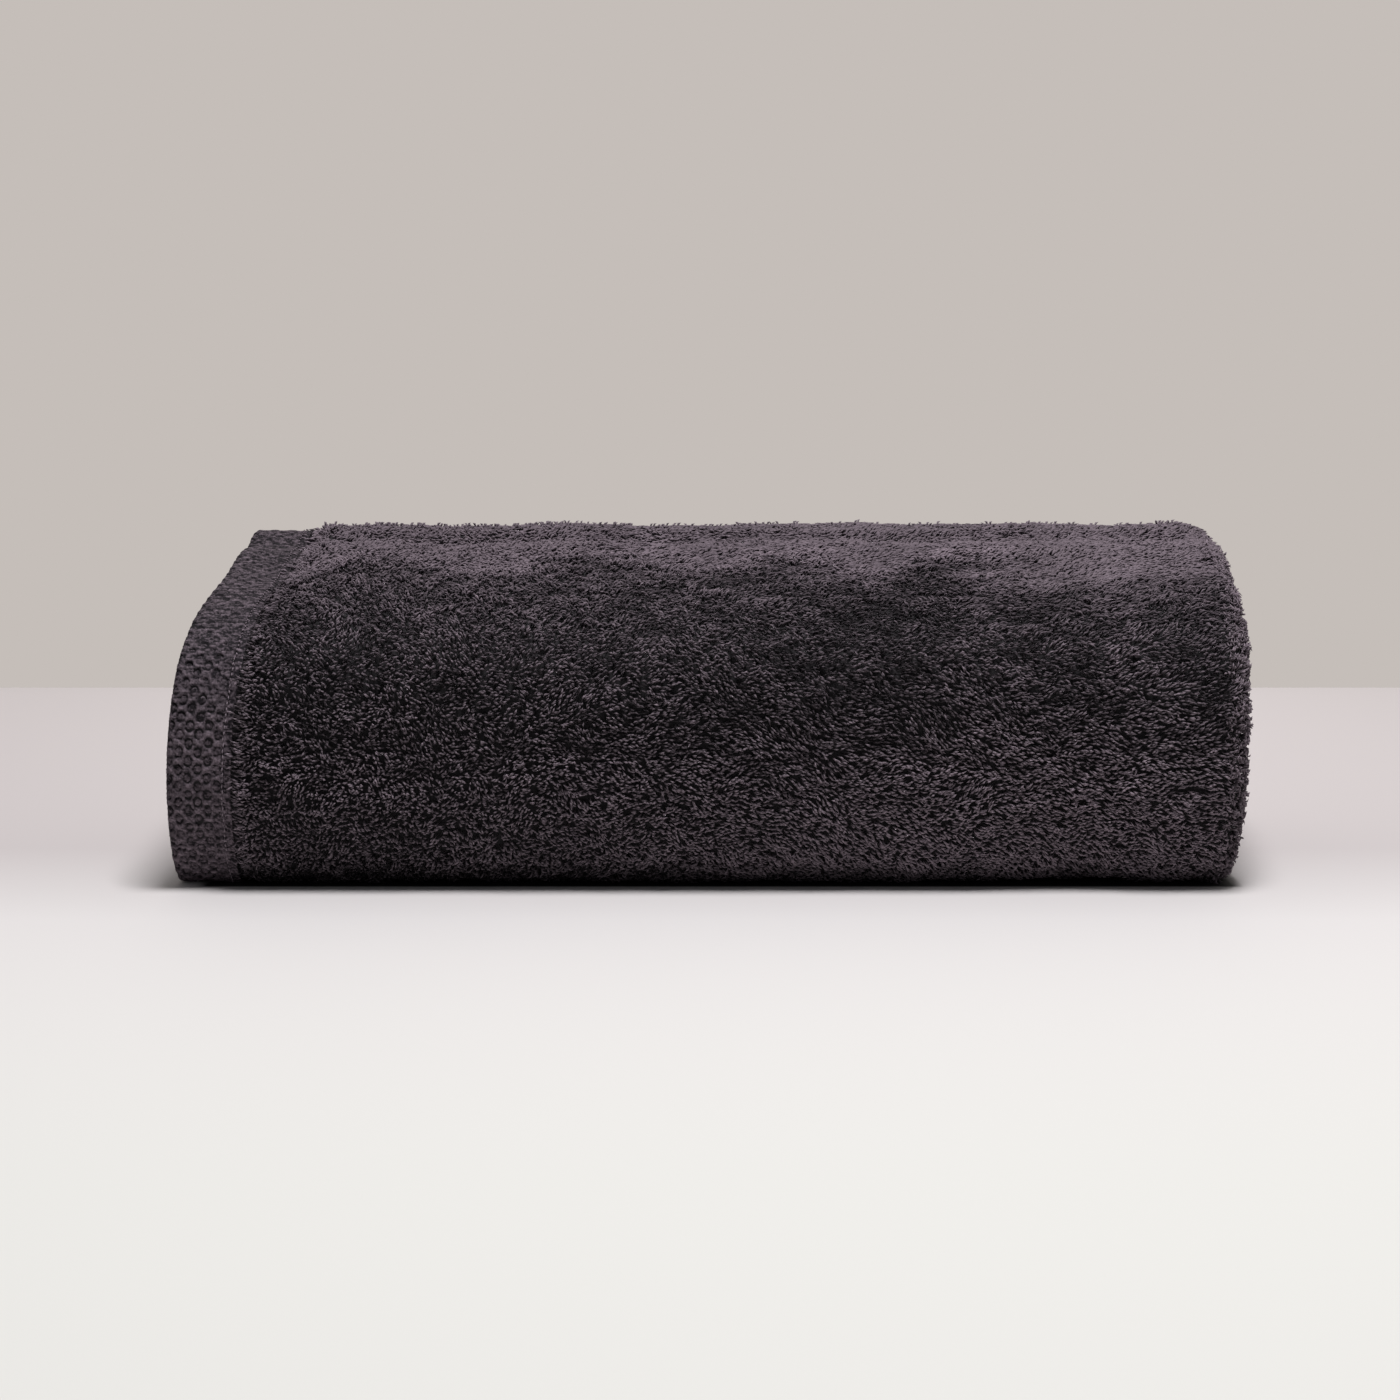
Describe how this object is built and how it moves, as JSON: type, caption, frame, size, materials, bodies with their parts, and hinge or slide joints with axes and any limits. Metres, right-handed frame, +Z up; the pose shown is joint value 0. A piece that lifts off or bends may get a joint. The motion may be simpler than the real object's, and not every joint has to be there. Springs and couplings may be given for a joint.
{
  "type": "rolled bath towel",
  "caption": "Terry bath towel folded in four along its length and wound into a soft flat-bottomed roll, with a woven honeycomb border at one end.",
  "frame": {"origin": "centre of the bounding box at its base, on the surface that the roll rests on", "axes": "+X along the roll towards its folded end, -X towards its hem end, -Y towards the smooth rounded front, +Y towards the side where the free edge comes down, +Z up"},
  "size_m": [0.3602, 0.1554, 0.1143],
  "materials": {
    "cotton_terry": "deep soft pile, fully matte, with a flat woven honeycomb border of the same yarn"
  },
  "bodies": {
    "root": {"towel_roll": "cotton_terry"}
  },
  "joints": []
}
